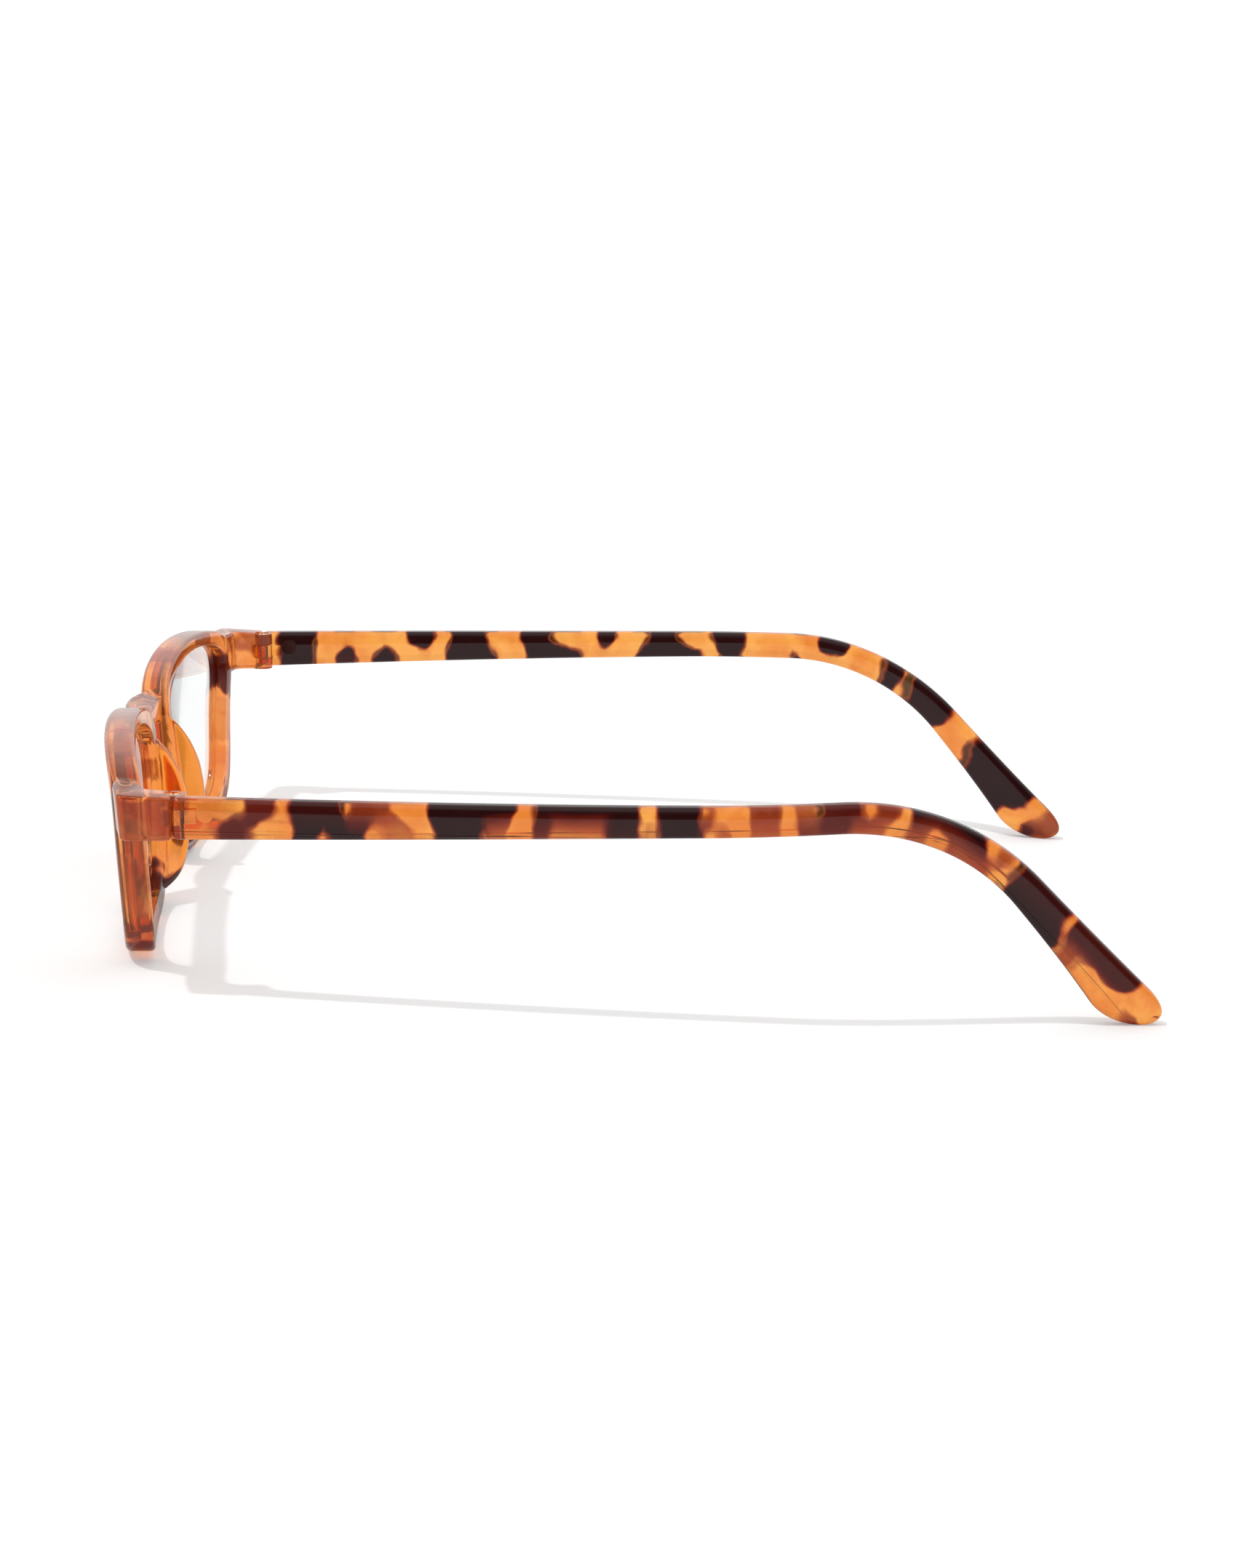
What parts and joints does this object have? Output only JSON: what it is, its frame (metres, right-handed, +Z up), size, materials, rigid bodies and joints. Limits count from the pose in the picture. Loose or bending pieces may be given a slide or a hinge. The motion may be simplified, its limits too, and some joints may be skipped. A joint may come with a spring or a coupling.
{
  "type": "reading glasses",
  "caption": "Full-rim reading glasses in translucent tortoiseshell plastic with moulded nose pads and folding temples on screwed knuckle hinges.",
  "frame": {"origin": "on the table under the middle of the glasses' bounding box: midway between the two temples, midway between the front of the bridge and the temple tips", "axes": "+Z up from the table; -Y the way the wearer looks, so the temples run towards +Y; +X towards the wearer's left, so left_temple is on the +X side"},
  "size_m": [0.1412, 0.1454, 0.0307],
  "materials": {
    "front_plastic": "polished injection-moulded plastic, translucent amber with dark brown blotches, clear orange at the nose pads",
    "temple_plastic": "polished injection-moulded plastic, translucent amber with dark brown blotches",
    "lens": "clear reading lens with polished faces",
    "screw_brass": "small machined screw, bright"
  },
  "bodies": {
    "front": {"front_frame": "front_plastic", "left_lens": "lens", "right_lens": "lens", "left_hinge_screw": "screw_brass", "right_hinge_screw": "screw_brass"},
    "left_arm": {"left_temple": "temple_plastic"},
    "right_arm": {"right_temple": "temple_plastic"}
  },
  "joints": [
    {"name": "left_temple_fold", "type": "hinge", "parent": "front", "child": "left_arm", "pos_m": [0.0637, -0.05862, 0.02416], "axis": [0, -0.0447, 0.999], "range_deg": [0, 87]},
    {"name": "right_temple_fold", "type": "hinge", "parent": "front", "child": "right_arm", "pos_m": [-0.0637, -0.05862, 0.02416], "axis": [0, 0.0447, -0.999], "range_deg": [0, 80]}
  ]
}
